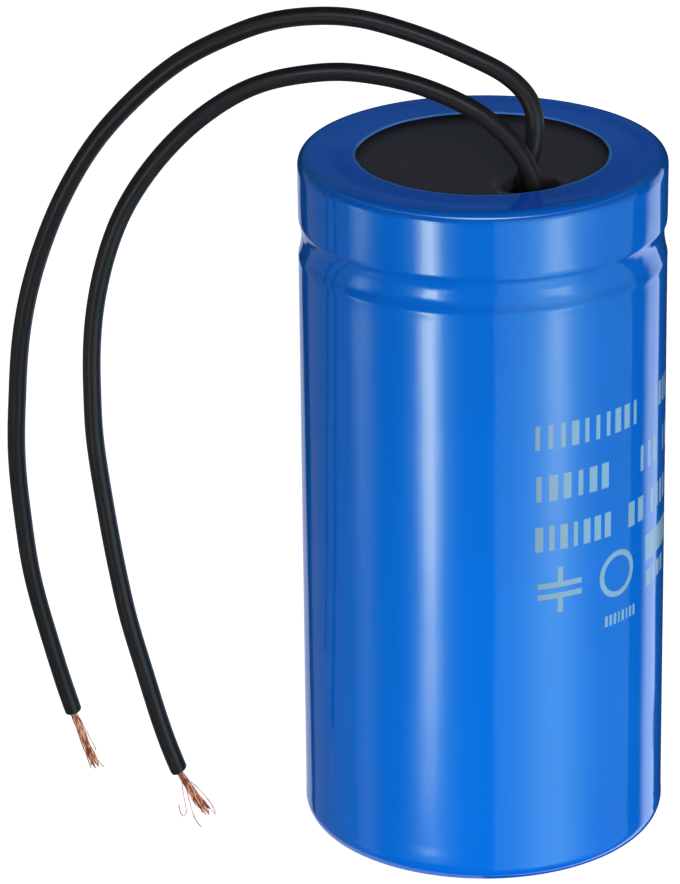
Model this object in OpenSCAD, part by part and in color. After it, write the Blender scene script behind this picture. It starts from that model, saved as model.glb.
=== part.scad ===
// Motor start capacitor: a sealed aluminium can in a shrink sleeve, closed by a
// black cover plate, with two stranded leads out of an off-centre hole.
// Millimetres, +Z up, origin at the middle of the underside.

/* [Can] */
// Outer diameter of the aluminium can
can_d = 50; // [46:1:60]
// Height of the aluminium can
can_h = 98; // [90:1:120]
// Thickness of the can's wall
can_wall = 0.7; // [0.5:0.05:0.9]
// Outside radius of the edge round the can's base
base_edge_r = 2.75; // [1.5:0.25:4]

/* [Rolled bead] */
// Distance from the top of the rim down to the middle of the bead
bead_drop = 11; // [10:0.5:14]
// Height of the bead's groove on the outside
bead_w = 4.5; // [3.5:0.25:5]
// Depth of the bead's groove
bead_depth = 1.2; // [0.9:0.1:1.6]

/* [Rim] */
// Outside radius of the rim's edge
rim_edge_r = 1; // [0.8:0.1:1.5]
// Thickness of the rim where it is curled in over the cover plate
rim_t = 0.8; // [0.6:0.05:0.95]
// Width of the curled rim, seen from above
rim_w = 3.5; // [2.5:0.25:5]

/* [Shrink sleeve] */
// Thickness of the film
film_t = 0.25; // [0.15:0.05:0.4]
// Width of the film's lap over the top and under the base
film_lap = 8; // [6:0.5:10]
// How far the film sinks into the bead's groove
film_dip = 0.4; // [0.2:0.05:0.6]
// How much shorter than the groove the sunk band of film is
film_dip_inset = 0.3; // [0.2:0.05:0.5]

/* [Cover plate] */
// Thickness of the plate
cover_t = 1.6; // [1.2:0.1:2]
// Width of the skirt that stands on the terminal board
skirt_w = 2.2; // [1.5:0.1:3]
// Diameter of the lead hole
hole_d = 8; // [7.5:0.25:9]
// Distance of the lead hole from the can's axis
hole_offset = 13; // [12.5:0.25:13.5]
// Direction of the lead hole, in degrees from +X
hole_turn = -60; // [-62:1:-58]
// Width of the rounded collar round the lead hole
collar_w = 1.2; // [0.9:0.1:1.5]
// Height of the collar above the plate
collar_h = 0.35; // [0.2:0.05:0.45]

/* [Seal and terminal board] */
// Thickness of the rubber sealing disc
seal_t = 2; // [1.5:0.1:2.5]
// Thickness of the terminal board
board_t = 1.5; // [1:0.1:2]
// Radial gap between the can's wall and the discs inside it
disc_gap = 0.1; // [0.05:0.05:0.2]
// Gap between the sealing disc's edge and the bead under it
seat_gap = 0.02; // [0.01:0.01:0.05]
// Depth of free space from the middle of the bead down to the sealed contents
head_space = 3; // [3:0.25:6]

/* [Terminals] */
// Distance between the two terminals
terminal_pitch = 26; // [24:1:28]
// Direction of the first terminal, in degrees from +X
terminal_turn = -20; // [-30:5:0]
// Diameter of a rivet's shank
rivet_d = 3; // [2.5:0.1:3.5]
// Diameter of a rivet's upper head
rivet_head_d = 5.2; // [4.6:0.1:5.8]
// Height of a rivet's upper head
rivet_head_h = 0.9; // [0.6:0.1:1.1]
// Diameter of a rivet's closed lower end
rivet_foot_d = 4.6; // [4.2:0.1:5]
// Height of a rivet's closed lower end
rivet_foot_h = 0.8; // [0.5:0.1:1]
// Outer diameter of the washer under the sealing disc
washer_d = 6.6; // [6.2:0.2:8]
// Thickness of the washer
washer_t = 0.5; // [0.4:0.1:0.8]
// Thickness of a solder lug
lug_t = 0.5; // [0.4:0.05:0.6]
// Width of a solder lug's strip
lug_w = 1.8; // [1.4:0.1:2.2]
// Diameter of a lug's eye round the rivet
lug_eye_d = 6; // [5.8:0.1:6.6]
// Diameter of a lug's pad under its lead
lug_pad_d = 2.4; // [2:0.1:2.6]
// Height of a solder joint above its lug
solder_h = 0.9; // [0.6:0.1:1]
// Diameter of a solder joint
solder_d = 2; // [1.6:0.1:2]
// Radial gap between a lug and what passes through it
lug_gap = 0.05; // [0.02:0.01:0.1]
// Width of the aluminium tabs between the sealed contents and the washers
tab_w = 4; // [3:0.5:5]
// Thickness of the tabs
tab_t = 0.3; // [0.2:0.05:0.4]

/* [Pressure relief plug] */
// Diameter of the plug where it passes through board and sealing disc
vent_d = 4; // [3:0.5:5]
// Diameter of the plug's cap
vent_cap_d = 6; // [5.5:0.5:8]
// Height of the plug's cap
vent_cap_h = 0.8; // [0.5:0.1:1.2]
// Distance of the plug from the can's axis
vent_offset = 13; // [11:0.5:16]
// Direction of the plug, in degrees from +X
vent_turn = 80; // [60:5:100]

/* [Leads] */
// Outer diameter of a lead's insulation
lead_d = 2.5; // [2.2:0.1:2.7]
// Depth of the insulation's inner end below the top of the cover plate
jacket_depth = 2.45; // [1.8:0.05:3]
// Diameter of a lead's stranded copper core
core_d = 1; // [0.8:0.1:1.2]
// Diameter of one loose copper strand
strand_d = 0.16; // [0.12:0.02:0.2]

/* [Hidden] */
$fn = 96;

// Overlap that joins or cuts shapes cleanly
over = 1;

// Can and sleeve
can_r = can_d / 2;
can_inner_r = can_r - can_wall;
can_bottom = film_t;
can_top = can_bottom + can_h;
film_r = can_r + film_t;
film_top = can_top + film_t;
film_mouth_r = film_r - film_lap;
rim_mouth_r = can_r - rim_w;
rim_under = can_top - rim_t;

// Bead: the groove is an arc as high as bead_w and as deep as bead_depth
bead_z = can_top - bead_drop;
bead_r = arc_radius(bead_w / 2, bead_depth);
bead_centre_r = can_r - bead_depth + bead_r;
bead_ridge_r = bead_r + can_wall;
dip_r = arc_radius((bead_w - film_dip_inset) / 2, film_dip);
dip_centre_r = film_r - film_dip + dip_r;

// Stack on the bead: sealing disc, board, cover plate
disc_r = can_inner_r - disc_gap;
seal_z = bead_z + sqrt(pow(bead_ridge_r, 2) - pow(bead_centre_r - disc_r, 2)) + seat_gap;
board_z = seal_z + seal_t;
board_top = board_z + board_t;
cover_top = rim_under;
cover_under = cover_top - cover_t;
hole_r = hole_d / 2;
hole_at = polar(hole_offset, hole_turn);
contents_top = bead_z - head_space;

// Terminals
terminal_a = polar(terminal_pitch / 2, terminal_turn);
terminal_b = polar(terminal_pitch / 2, terminal_turn + 180);
rivet_r = rivet_d / 2;
washer_z = seal_z - washer_t;
lug_top = board_top + lug_t;
vent_at = polar(vent_offset, vent_turn);

// Routes of the leads, from the solder joint end to the stripped end
route_a = [
    [7, -12.5, 95], [7, -12.5, 98], [6, -12.5, 101], [4, -12, 104], [0.5, -12, 107.5],
    [-4, -11.5, 110], [-9.5, -11, 112], [-14, -11, 113], [-19, -10.5, 113.5],
    [-24, -10.5, 113], [-28.5, -10, 112], [-33, -9.5, 110], [-38, -9.5, 106.5],
    [-42, -9, 102.5], [-45.5, -8.5, 98], [-48.5, -8, 93], [-50.5, -8, 88],
    [-52, -7.5, 82.5], [-53, -7, 77], [-53.5, -6.5, 71], [-53.5, -6.5, 65],
    [-53.5, -6, 60], [-53, -6, 55], [-52.5, -5.5, 50.5], [-51.5, -5.5, 43],
    [-50.5, -5, 36.5], [-49.5, -5, 31], [-48, -4.5, 25], [-46.5, -4.5, 19],
    [-45, -4, 13], [-43, -4, 7.5]
];
route_b = [
    [5.5, -9.5, 95], [5.5, -9.5, 98], [6.5, -9.5, 101], [7, -9, 104], [7, -9, 107],
    [6, -8.5, 109.5], [3, -8.5, 112.5], [-1.5, -8, 114.5], [-6, -7.5, 116.5],
    [-11, -6.5, 118], [-16.5, -6, 119.5], [-22, -5, 119.5], [-28.5, -4, 118.5],
    [-34, -3, 116], [-39, -2.5, 113.5], [-43.5, -1.5, 110], [-48, -0.5, 105.5],
    [-51.5, 0, 101.5], [-54.5, 1, 97], [-57.5, 1.5, 91.5], [-60, 2.5, 85.5],
    [-62, 3.5, 79.5], [-63.5, 4, 73.5], [-64.5, 5, 67], [-65, 6, 60.5],
    [-65.5, 6.5, 54], [-65.5, 7.5, 47.5], [-65, 8, 41], [-64.5, 8.5, 34.5],
    [-63.5, 9, 28.5], [-62, 9.5, 22], [-60.5, 10, 15.5], [-59, 10.5, 10]
];
// Where each lead stands over its lug
lead_at_a = [route_a[0][0], route_a[0][1]];
lead_at_b = [route_b[0][0], route_b[0][1]];
// Ends of the bare cores, on the surface that the can stands on
tip_a = [-39, -3.5, 0.3];
tip_b = [-56, 12, 0.2];
// Loose strands: where each leaves its core, as a share of the bare length, and its end
loose_a = [[0.1, [-42.5, -5, 0.5]], [0.3, [-40, -4.5, 0.1]], [0.3, [-38, -2.5, 0.4]]];
loose_b = [[0.1, [-55.5, 12.5, 1.5]], [0.4, [-57, 12, 0.5]]];

// Radius of the arc that is 2 * half high and as deep as depth
function arc_radius(half, depth) = (half * half + depth * depth) / (2 * depth);
function polar(r, turn) = [r * cos(turn), r * sin(turn)];
function unit(v) = v / norm(v);
function mix(p, q, share) = p + (q - p) * share;
function last(list) = list[len(list) - 1];
// Direction of a route at its point i; it leaves its last point towards aim
function heading(route, i, aim) =
    i == len(route) - 1 ? unit(aim - route[i]) : unit(route[i + 1] - route[max(i - 1, 0)]);
function side(t) = unit(cross(t, [0, 1, 0]));
// Corner k of the ring round a route's point i
function ring_point(route, i, k, sides, r, aim) =
    let (t = heading(route, i, aim), u = side(t), v = cross(t, u), turn = 360 * k / sides)
    route[i] + r * (cos(turn) * u + sin(turn) * v);

// Solid of revolution's outline with a round outer edge below and above
module rounded_outline(r, low, high, low_edge, high_edge) {
    translate([0, low + low_edge]) square([r, high - low - low_edge - high_edge]);
    translate([0, low]) square([r - low_edge, high - low - high_edge]);
    translate([r - low_edge, low + low_edge]) circle(r = low_edge);
    translate([0, low + low_edge]) square([r - high_edge, high - low - low_edge]);
    translate([r - high_edge, high - high_edge]) circle(r = high_edge);
}

// Tube along a route, one ring of corners at each of its points, with its end square to aim
module tube(route, aim, d, sides = 8) {
    rings = len(route);
    corners = [for (i = [0 : rings - 1]) for (k = [0 : sides - 1])
        ring_point(route, i, k, sides, d / 2, aim)];
    walls = [for (i = [0 : rings - 2]) for (k = [0 : sides - 1])
        let (a = i * sides + k, b = i * sides + (k + 1) % sides)
        each [[a, b, b + sides], [a, b + sides, a + sides]]];
    start_cap = [[for (k = [sides - 1 : -1 : 0]) k]];
    end_cap = [[for (k = [0 : sides - 1]) (rings - 1) * sides + k]];
    polyhedron(points = corners, faces = concat(walls, start_cap, end_cap), convexity = 10);
}

// Straight round rod from p to q
module rod(p, q, d) {
    v = q - p;
    translate(p)
        rotate([0, acos(v[2] / norm(v)), atan2(v[1], v[0])])
            cylinder(d = d, h = norm(v), $fn = 24);
}

// Domed head of diameter d and height h on the plane z = 0
module dome(d, h) {
    r = arc_radius(d / 2, h);
    rotate_extrude()
        intersection() {
            translate([0, h - r]) circle(r = r);
            square([d, h + over]);
        }
}

module sleeve() {
    color([0.06, 0.36, 0.8])
        rotate_extrude()
            difference() {
                rounded_outline(film_r, 0, film_top, base_edge_r + film_t, rim_edge_r + film_t);
                difference() {
                    rounded_outline(can_r, can_bottom, can_top, base_edge_r, rim_edge_r);
                    translate([dip_centre_r, bead_z]) circle(r = dip_r + film_t);
                }
                translate([dip_centre_r, bead_z]) circle(r = dip_r);
                translate([0, -over]) square([film_mouth_r, film_top + 2 * over]);
            }
}

// Can, with its rim curled over the cover plate, and its sealed contents as one body
module can() {
    color([0.78, 0.79, 0.8]) {
        rotate_extrude()
            difference() {
                union() {
                    difference() {
                        rounded_outline(can_r, can_bottom, can_top, base_edge_r, rim_edge_r);
                        translate([0, contents_top])
                            square([can_inner_r, rim_under - contents_top]);
                        translate([0, contents_top])
                            square([rim_mouth_r, can_top + over - contents_top]);
                    }
                    translate([rim_mouth_r, can_top - rim_t / 2]) circle(d = rim_t);
                    intersection() {
                        translate([bead_centre_r, bead_z]) circle(r = bead_ridge_r);
                        translate([0, bead_z - bead_ridge_r])
                            square([can_r - can_wall / 2, 2 * bead_ridge_r]);
                    }
                }
                translate([bead_centre_r, bead_z]) circle(r = bead_r);
            }
        contact_tab(terminal_a);
        contact_tab(terminal_b);
    }
}

// Foil tab that stands on the contents and bears on a terminal's washer
module contact_tab(at) {
    reach = (rivet_foot_d + washer_d) / 4;
    translate([at[0] + reach - tab_t / 2, at[1] - tab_w / 2, contents_top - over])
        cube([tab_t, tab_w, washer_z - contents_top + over]);
}

// What passes through board and sealing disc
module terminal_holes() {
    for (at = [terminal_a, terminal_b])
        translate([at[0], at[1], seal_z - over])
            cylinder(r = rivet_r, h = seal_t + board_t + 2 * over);
    translate([vent_at[0], vent_at[1], seal_z - over])
        cylinder(d = vent_d, h = seal_t + board_t + 2 * over);
}

module seal_rubber() {
    color([0.13, 0.13, 0.13])
        difference() {
            translate([0, 0, seal_z]) cylinder(r = disc_r, h = seal_t);
            terminal_holes();
        }
}

module terminal_board() {
    color([0.45, 0.26, 0.12])
        difference() {
            translate([0, 0, board_z]) cylinder(r = disc_r, h = board_t);
            terminal_holes();
        }
}

module vent_plug() {
    color([0.55, 0.16, 0.12]) {
        translate([vent_at[0], vent_at[1], seal_z]) cylinder(d = vent_d, h = seal_t + board_t);
        translate([vent_at[0], vent_at[1], board_top]) dome(vent_cap_d, vent_cap_h);
    }
}

module rivet(at) {
    color([0.72, 0.73, 0.75])
        translate([at[0], at[1], 0]) {
            translate([0, 0, washer_z]) cylinder(r = rivet_r, h = lug_top - washer_z);
            translate([0, 0, washer_z - rivet_foot_h]) cylinder(d = rivet_foot_d, h = rivet_foot_h);
            translate([0, 0, lug_top]) dome(rivet_head_d, rivet_head_h);
        }
}

module washer(at) {
    color([0.66, 0.67, 0.69])
        translate([at[0], at[1], washer_z])
            difference() {
                cylinder(d = washer_d, h = washer_t);
                translate([0, 0, -over]) cylinder(r = rivet_r, h = washer_t + 2 * over);
            }
}

// Flat lug from a terminal to the pad under its lead
module lug(at, lead_at) {
    run = lead_at - at;
    color([0.74, 0.72, 0.66])
        translate([0, 0, board_top])
            linear_extrude(lug_t)
                difference() {
                    union() {
                        translate(at) circle(d = lug_eye_d);
                        translate(lead_at) circle(d = lug_pad_d);
                        translate(at) rotate(atan2(run[1], run[0]))
                            translate([0, -lug_w / 2]) square([norm(run), lug_w]);
                    }
                    translate(at) circle(r = rivet_r);
                    translate(lead_at) circle(r = core_d / 2 + lug_gap);
                }
}

// Solder round a core where it stands in its lug
module solder(lead_at) {
    color([0.8, 0.8, 0.82])
        translate([lead_at[0], lead_at[1], lug_top])
            difference() {
                dome(solder_d, solder_h);
                translate([0, 0, -over]) cylinder(d = core_d, h = solder_h + 2 * over);
            }
}

// Stripped inner end of a lead's core, from the board up to the insulation
module core(lead_at) {
    color([0.8, 0.45, 0.25])
        translate([lead_at[0], lead_at[1], board_top])
            cylinder(d = core_d, h = cover_top - jacket_depth - board_top);
}

module cover_plate() {
    color([0.08, 0.08, 0.09])
        difference() {
            union() {
                translate([0, 0, cover_under]) cylinder(r = disc_r, h = cover_t);
                translate([0, 0, board_top])
                    difference() {
                        cylinder(r = disc_r, h = cover_under - board_top + over / 2);
                        translate([0, 0, -over])
                            cylinder(r = disc_r - skirt_w, h = cover_under - board_top + 3 * over);
                    }
                translate([hole_at[0], hole_at[1], cover_top]) collar();
            }
            translate([hole_at[0], hole_at[1], cover_under - over])
                cylinder(r = hole_r, h = cover_t + 2 * over);
        }
}

// Rounded ring that stands collar_h out of the plate
module collar() {
    rotate_extrude()
        translate([hole_r + collar_w / 2, collar_h - collar_w / 2])
            circle(d = collar_w);
}

module lead(route, tip) {
    color([0.07, 0.07, 0.08]) tube(route, tip, lead_d);
}

// Bare end of a lead's core, with the strands that stand off it
module strands(jacket_end, tip, loose) {
    color([0.85, 0.5, 0.3]) {
        rod(jacket_end, tip, core_d);
        for (strand = loose)
            rod(mix(jacket_end, tip, strand[0]), strand[1], strand_d);
    }
}

sleeve();
can();
seal_rubber();
terminal_board();
vent_plug();
rivet(terminal_a);  // rivet_a
rivet(terminal_b);  // rivet_b
washer(terminal_a);  // washer_a
washer(terminal_b);  // washer_b
lug(terminal_a, lead_at_a);  // lug_a
lug(terminal_b, lead_at_b);  // lug_b
solder(lead_at_a);  // solder_a
solder(lead_at_b);  // solder_b
core(lead_at_a);  // core_a
core(lead_at_b);  // core_b
cover_plate();
lead(route_a, tip_a);  // lead_a
lead(route_b, tip_b);  // lead_b
strands(last(route_a), tip_a, loose_a);  // strands_a
strands(last(route_b), tip_b, loose_b);  // strands_b
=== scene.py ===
"""Motor start capacitor: film sleeve, cover plate, stranded leads and sealed header.

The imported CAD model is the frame. Every place and size is in metres in its frame:
the can stands on z = 0 round the Z axis, and its front faces -Y.
"""

import math

import bmesh
import bpy
from mathutils import Matrix, Vector


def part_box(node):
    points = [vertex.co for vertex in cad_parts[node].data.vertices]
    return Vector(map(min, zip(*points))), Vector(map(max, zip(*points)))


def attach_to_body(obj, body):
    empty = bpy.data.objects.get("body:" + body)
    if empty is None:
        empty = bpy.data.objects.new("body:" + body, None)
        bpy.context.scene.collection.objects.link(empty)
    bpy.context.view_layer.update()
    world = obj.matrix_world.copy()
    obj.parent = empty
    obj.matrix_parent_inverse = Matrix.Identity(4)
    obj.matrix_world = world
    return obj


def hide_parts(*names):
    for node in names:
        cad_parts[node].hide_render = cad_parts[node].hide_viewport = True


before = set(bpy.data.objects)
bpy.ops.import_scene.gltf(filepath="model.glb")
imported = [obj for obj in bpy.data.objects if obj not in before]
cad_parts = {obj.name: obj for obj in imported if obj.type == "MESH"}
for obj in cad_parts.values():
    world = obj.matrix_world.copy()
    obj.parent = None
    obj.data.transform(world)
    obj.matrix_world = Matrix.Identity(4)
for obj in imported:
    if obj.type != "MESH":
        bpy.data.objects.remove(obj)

bl_info = {
    "name": "Motor Start Capacitor",
    "version": (1, 0, 0),
    "blender": (4, 5, 0),
    "location": "3D View > Sidebar > Capacitor",
    "description": "Builds the visible pieces of a motor start capacitor round its CAD model",
    "category": "Object",
}

MM = 0.001
DEGREES = 180 / math.pi
BODY = "root"
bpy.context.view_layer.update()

# Film sleeve, from the solids
SLEEVE_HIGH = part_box("sleeve")[1]
FILM_R = min(SLEEVE_HIGH.x, SLEEVE_HIGH.y)
FILM_TOP = SLEEVE_HIGH.z
MOUTH_R = 17.25 * MM
RIM_MOUTH_R = 21.5 * MM
FILM_T = 0.25 * MM
# The film turns over the rim in an oval corner
TOP_EDGE_ACROSS = 1.2 * MM
TOP_EDGE_UP = 1.7 * MM
BASE_EDGE_R = 3.0 * MM
HOLE_PLACE = Vector((6.5, -11.26, 0.0)) * MM
COLLAR_R = 5.2 * MM
# Groove in the film over the can's bead. It stays clear of the can, whose own groove
# ends at GROOVE_END_Z, so the film can't sink by more than GROOVE_END_DIP there.
BEAD_Z = 86.95 * MM
BEAD_HALF_ABOVE = 2.35 * MM
BEAD_POWER = 2.4
GROOVE_END_Z = 85.0 * MM
GROOVE_END_DIP = 0.215 * MM
# Circle that the film's outline is turned along
REFERENCE_R = 20.0 * MM
# Steps of the outline over the lap, the rim, the lower edge and the base, and its
# spacing down the wall outside and inside, which is finer near the bead
LAP_STEPS = 14
RIM_STEPS = 10
EDGE_STEPS = 12
BASE_STEPS = 5
OUTER_SPACING = 1.1 * MM
INNER_SPACING = 2.2 * MM
BEAD_SHARE = 0.22
# How far the strands reach up into the insulation
STRANDS_SUNK = 0.5 * MM
# Points along a strand and a loose strand, and faces round them
STRAND_POINTS = 26
LOOSE_POINTS = 30
STRAND_SIDES = 8
# Steps between two points of a lead's route, and a bevel that makes it 16-sided
LEAD_STEPS = 10
LEAD_BEVEL = 6
# Insulation just before its cut: millimetres back from the end and share of its width
CUT_EASE = ((0.4, 1.0), (0.14, 0.98), (0.04, 0.93))
CUT_SHARE = 0.84
# Turn from one strand to the next, which spreads them evenly over a round bundle
GOLDEN_TURN = 2.39996

# Centre lines of the leads, from the solder joints to the stripped ends, in millimetres
ROUTE_A = (
    (7, -12.5, 95), (7, -12.5, 98), (6, -12.5, 101), (4, -12, 104), (0.5, -12, 107.5),
    (-4, -11.5, 110), (-9.5, -11, 112), (-14, -11, 113), (-19, -10.5, 113.5),
    (-24, -10.5, 113), (-28.5, -10, 112), (-33, -9.5, 110), (-38, -9.5, 106.5),
    (-42, -9, 102.5), (-45.5, -8.5, 98), (-48.5, -8, 93), (-50.5, -8, 88),
    (-52, -7.5, 82.5), (-53, -7, 77), (-53.5, -6.5, 71), (-53.5, -6.5, 65),
    (-53.5, -6, 60), (-53, -6, 55), (-52.5, -5.5, 50.5), (-51.5, -5.5, 43),
    (-50.5, -5, 36.5), (-49.5, -5, 31), (-48, -4.5, 25), (-46.5, -4.5, 19),
    (-45, -4, 13), (-43, -4, 7.5),
)
ROUTE_B = (
    (5.5, -9.5, 95), (5.5, -9.5, 98), (6.5, -9.5, 101), (7, -9, 104), (7, -9, 107),
    (6, -8.5, 109.5), (3, -8.5, 112.5), (-1.5, -8, 114.5), (-6, -7.5, 116.5),
    (-11, -6.5, 118), (-16.5, -6, 119.5), (-22, -5, 119.5), (-28.5, -4, 118.5),
    (-34, -3, 116), (-39, -2.5, 113.5), (-43.5, -1.5, 110), (-48, -0.5, 105.5),
    (-51.5, 0, 101.5), (-54.5, 1, 97), (-57.5, 1.5, 91.5), (-60, 2.5, 85.5),
    (-62, 3.5, 79.5), (-63.5, 4, 73.5), (-64.5, 5, 67), (-65, 6, 60.5),
    (-65.5, 6.5, 54), (-65.5, 7.5, 47.5), (-65, 8, 41), (-64.5, 8.5, 34.5),
    (-63.5, 9, 28.5), (-62, 9.5, 22), (-60.5, 10, 15.5), (-59, 10.5, 10),
)
TIP_A = (-39, -3.5, 0.3)
TIP_B = (-56, 12, 0.2)
# Loose strands, each as the points that it bends through, in millimetres
LOOSE_A = (
    ((-42.9, -4, 7.0), (-42.6, -4.1, 4.4), (-42.3, -4.2, 2.2), (-42.2, -4.3, 1.0),
     (-42.5, -4.4, 0.45), (-42.9, -4.5, 0.9), (-43.2, -4.6, 2.3)),
    ((-42.3, -4, 6.1), (-42.0, -4.0, 4.2), (-41.6, -4.1, 2.2), (-41.1, -4.4, 0.5),
     (-40.6, -5.6, 0.12), (-39.9, -7.2, 0.12)),
    ((-41.4, -3.8, 5.6), (-40.4, -3.6, 4.4), (-39.3, -3.4, 2.9), (-38.4, -3.2, 1.3),
     (-38.1, -3.0, 0.4)),
    ((-41.0, -3.8, 4.4), (-39.7, -3.6, 2.6), (-38.6, -3.4, 0.9), (-38.0, -3.3, 0.15)),
)
LOOSE_B = (
    ((-58.6, 10.6, 8.6), (-58.1, 10.8, 5.4), (-57.6, 11.1, 3.2), (-57.1, 11.4, 1.3),
     (-56.9, 11.7, 0.3)),
    ((-58.2, 10.6, 8.8), (-57.0, 10.8, 6.0), (-56.2, 11.0, 4.1), (-56.0, 11.2, 3.4)),
    ((-56.9, 11.3, 3.2), (-55.9, 11.5, 1.7), (-55.0, 11.7, 0.4)),
)
# Lead, its bare end, route, tip, loose strands, how far the bare end sags in its middle
# in millimetres, and the insulated length in metres
LEADS = (
    ("lead_a", "strands_a", ROUTE_A, TIP_A, LOOSE_A, (-0.15, 0.0, -0.25), 0.161),
    ("lead_b", "strands_b", ROUTE_B, TIP_B, LOOSE_B, (-0.1, 0.0, -0.2), 0.1775),
)


def linear(red, green, blue):
    """Scene colour of an 8-bit display colour"""
    def decode(level):
        share = level / 255
        return share / 12.92 if share <= 0.04045 else ((share + 0.055) / 1.055) ** 2.4
    return decode(red), decode(green), decode(blue)


def rgba(colour):
    return (*tuple(colour)[:3], 1.0)


def metres(point):
    return Vector(point) * MM


class Value:
    """A number socket of a node tree. Expressions on it add Math nodes."""

    def __init__(self, nodes, socket):
        self.nodes = nodes
        self.socket = socket

    def __add__(self, other):
        return self.nodes.math("ADD", self, other)

    def __sub__(self, other):
        return self.nodes.math("SUBTRACT", self, other)

    def __rsub__(self, other):
        return self.nodes.math("SUBTRACT", other, self)

    def __mul__(self, other):
        return self.nodes.math("MULTIPLY", self, other)

    def __truediv__(self, other):
        return self.nodes.math("DIVIDE", self, other)

    def __neg__(self):
        return self.nodes.math("MULTIPLY", self, -1.0)

    __radd__ = __add__
    __rmul__ = __mul__

    def smooth(self, low, high):
        """0 below low, 1 above high and a smooth step between them"""
        node = self.nodes.add(
            "ShaderNodeMapRange",
            {"interpolation_type": "SMOOTHSTEP"},
            {"Value": self, "From Min": low, "From Max": high},
        )
        return Value(self.nodes, node.outputs["Result"])

    def between(self, low, high, edge):
        """1 from low to high, with edges that are twice edge wide"""
        return self.smooth(low - edge, low + edge) * (1 - self.smooth(high - edge, high + edge))

    def bell(self, centre, width):
        """Round hump of height 1 at centre"""
        offset = (self - centre) / width
        return self.nodes.math("EXPONENT", -(offset * offset))


class Nodes:
    """Adds nodes to one tree. Settings are set first, then the values or links of sockets."""

    def __init__(self, tree):
        self.tree = tree

    def add(self, kind, settings=None, sockets=None):
        node = self.tree.nodes.new(kind)
        for name, setting in (settings or {}).items():
            setattr(node, name, setting)
        for key, value in (sockets or {}).items():
            self.put(node.inputs[key], value)
        return node

    def put(self, socket, value):
        if isinstance(value, Value):
            value = value.socket
        if isinstance(value, bpy.types.NodeSocket):
            self.tree.links.new(value, socket)
        else:
            socket.default_value = value

    def math(self, operation, *values):
        node = self.add("ShaderNodeMath", {"operation": operation}, dict(enumerate(values)))
        return Value(self, node.outputs[0])

    def vector(self, operation, *values):
        node = self.add("ShaderNodeVectorMath", {"operation": operation}, dict(enumerate(values)))
        return node.outputs[0]

    def scale(self, vector, level):
        scaled = self.vector("SCALE", vector)
        self.put(scaled.node.inputs["Scale"], level)
        return scaled

    def split(self, vector):
        node = self.add("ShaderNodeSeparateXYZ", sockets={0: vector})
        return [Value(self, socket) for socket in node.outputs]

    def join(self, x, y, z):
        return self.add("ShaderNodeCombineXYZ", sockets={0: x, 1: y, 2: z}).outputs[0]

    def blend(self, share, first, second):
        """Mix of two colours"""
        node = self.add("ShaderNodeMix", {"data_type": "RGBA"}, {0: share, 6: first, 7: second})
        return node.outputs[2]

    def noise(self, place, scale, detail=2.0, roughness=0.5):
        node = self.add(
            "ShaderNodeTexNoise",
            sockets={"Vector": place, "Scale": scale, "Detail": detail, "Roughness": roughness},
        )
        return Value(self, node.outputs[0])

    def place(self, stretch=(1.0, 1.0, 1.0)):
        """Object coordinates, stretched along each axis"""
        place = self.add("ShaderNodeTexCoord").outputs["Object"]
        return self.add("ShaderNodeMapping", sockets={"Vector": place, "Scale": stretch}).outputs[0]

    def bump(self, height, distance, strength=1.0):
        node = self.add(
            "ShaderNodeBump",
            sockets={"Height": height, "Distance": distance, "Strength": strength},
        )
        return node.outputs[0]


def new_object(name, data):
    made = bpy.data.objects.new(name, data)
    bpy.context.scene.collection.objects.link(made)
    return made


def new_material(name):
    material = bpy.data.materials.new(name)
    material.use_nodes = True
    material.node_tree.nodes.clear()
    return material, Nodes(material.node_tree)


def surface(nodes, sockets):
    shader = nodes.add("ShaderNodeBsdfPrincipled", sockets=sockets)
    nodes.add("ShaderNodeOutputMaterial", sockets={"Surface": shader.outputs[0]})


# ---------------------------------------------------------------- finishes

# Rows of print: lowest and highest edge in millimetres, then the words as
# first and last degree round the can, counted from the front towards +X
PRINT_ROWS = (
    (64.5, 68.0, ((15.0, 57.0), (67.5, 83.5), (89.0, 104.0), (110.0, 126.0))),
    (57.0, 60.7, ((15.2, 43.5), (57.0, 71.5), (76.0, 94.5), (100.0, 119.0))),
    (49.7, 53.3, ((15.6, 44.4), (51.0, 61.5), (65.0, 90.0), (96.0, 110.5))),
    (36.3, 37.9, ((41.0, 56.0),)),
    (39.2, 41.6, ((88.5, 108.0),)),
)
# Degrees from one block to the next in a row of PITCH_ROW millimetres' height
BLOCK_PITCH = 4.2
PITCH_ROW = 3.5
# Middle and width of a wide block as shares of its pitch, and how much narrower some
# are, which is where a random number from 0 to 1 is above NARROW_FROM
BLOCK_MIDDLE = 0.45
BLOCK_WIDTH = 0.62
BLOCK_NARROWER = 0.26
NARROW_FROM = 0.6
# Plain patches of print: first and last degree round the can, then lowest and highest
# edge in millimetres. The first four make a circuit sign of two plates.
PRINT_PATCHES = (
    (17.0, 32.0, 44.15, 44.95),
    (17.0, 32.0, 42.55, 43.35),
    (23.6, 25.4, 44.9, 47.1),
    (23.6, 25.4, 40.4, 42.6),
    (62.0, 84.0, 43.0, 46.9),
)
# The same for a bar of blocks, with their pitch in degrees and width as a share of it
BAR = (62.8, 80.0, 39.2, 41.6)
BAR_PITCH = 4.3
BAR_WIDTH = 0.72
# Degrees round the can and height in millimetres of the ring's centre, and its radii
RING_TURN = 46.7
RING_HEIGHT = 43.7
RING_INNER = 2.6
RING_OUTER = 3.4
# How soft the print's edges are, in millimetres
PRINT_EDGE = 0.05


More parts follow.
